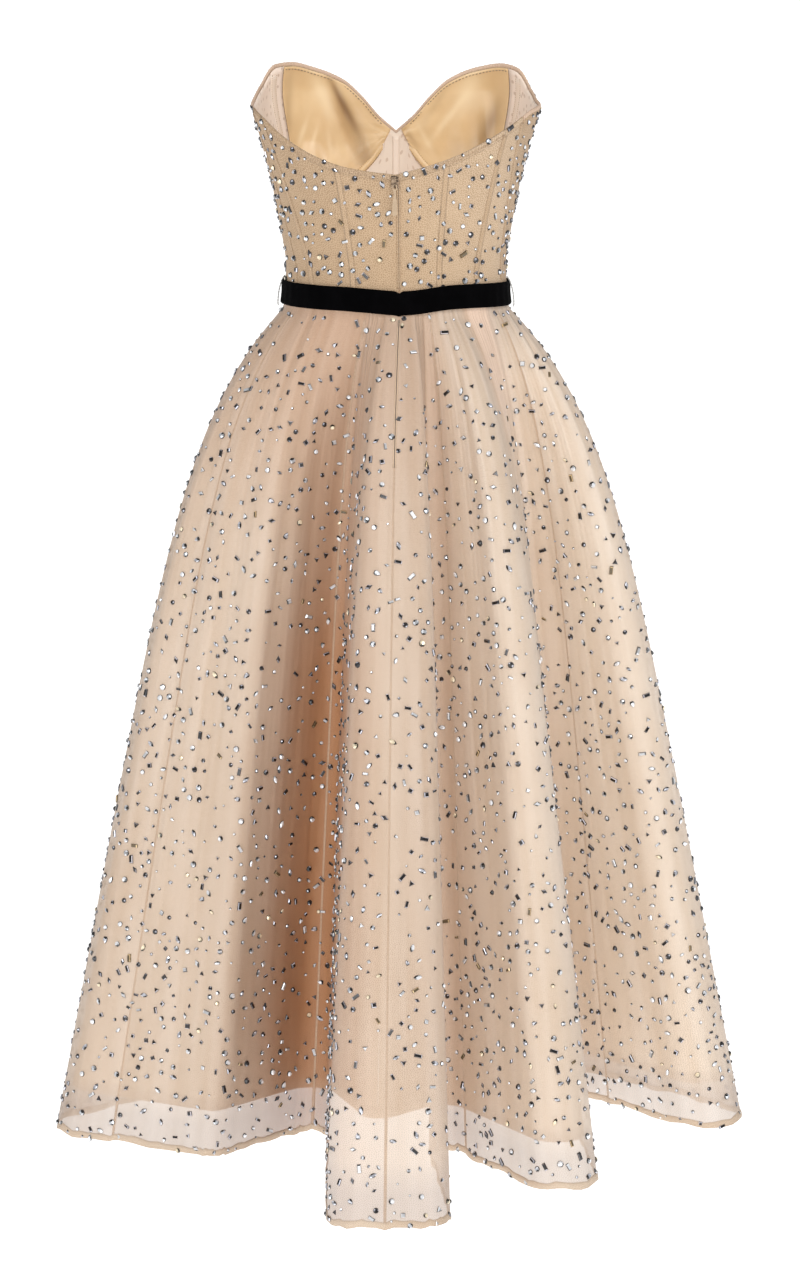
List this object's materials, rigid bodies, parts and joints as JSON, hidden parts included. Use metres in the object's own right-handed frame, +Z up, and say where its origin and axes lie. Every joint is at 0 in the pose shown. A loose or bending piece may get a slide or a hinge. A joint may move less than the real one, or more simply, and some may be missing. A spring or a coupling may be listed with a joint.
{
  "type": "cocktail dress",
  "caption": "Strapless crystal-trimmed cocktail dress with a boned bodice, lined cups, velvet belt, back zip and a full flared skirt in deep soft folds.",
  "frame": {"origin": "centre of the wearer's waist at the height of the belt, where the dress is held", "axes": "+Z up along the wearer, -Y out of the dress's back, +X towards the wearer's right, which is the right side of the back view"},
  "size_m": [0.7257, 0.8006, 1.1082],
  "materials": {
    "tulle": "sheer net with crystals",
    "skirt_lining": "matt, soft",
    "bodice_mesh": "matt mesh over net",
    "power_mesh": "matt fine mesh",
    "satin": "satin",
    "velvet": "velvet pile",
    "thread": "thread chain",
    "bronze": "dull bronze",
    "zip_tab": "satin enamel"
  },
  "bodies": {
    "dress": {"skirt_back_centre_right": "tulle", "skirt_back_side_right": "tulle", "skirt_front": "tulle", "skirt_back_side_left": "tulle", "skirt_back_centre_left": "tulle", "lining_back_right": "skirt_lining", "lining_front": "skirt_lining", "lining_back_left": "skirt_lining", "bodice_back_centre_right": "bodice_mesh", "bodice_back_side_right": "bodice_mesh", "bodice_side_back_right": "bodice_mesh", "bodice_side_back_left": "bodice_mesh", "bodice_back_side_left": "bodice_mesh", "bodice_back_centre_left": "bodice_mesh", "bodice_side_right": "bodice_mesh", "bodice_lining_side_right": "power_mesh", "bodice_side_left": "bodice_mesh", "bodice_lining_side_left": "power_mesh", "bodice_front_centre": "bodice_mesh", "bodice_front_right": "bodice_mesh", "cup_right": "bodice_mesh", "cup_lining_right": "satin", "bodice_front_left": "bodice_mesh", "cup_left": "bodice_mesh", "cup_lining_left": "satin", "bodice_lining_front": "power_mesh", "top_binding": "power_mesh", "belt": "velvet", "belt_loop_right": "thread", "belt_loop_left": "thread", "zip_slider": "bronze"},
    "zip_pull": {"zip_pull": "zip_tab"}
  },
  "joints": [
    {"name": "zip_pull_hinge", "type": "hinge", "parent": "dress", "child": "zip_pull", "pos_m": [-0.001, -0.0993, 0.1187], "axis": [-1, 0, 0], "range_deg": [0, 160]}
  ]
}
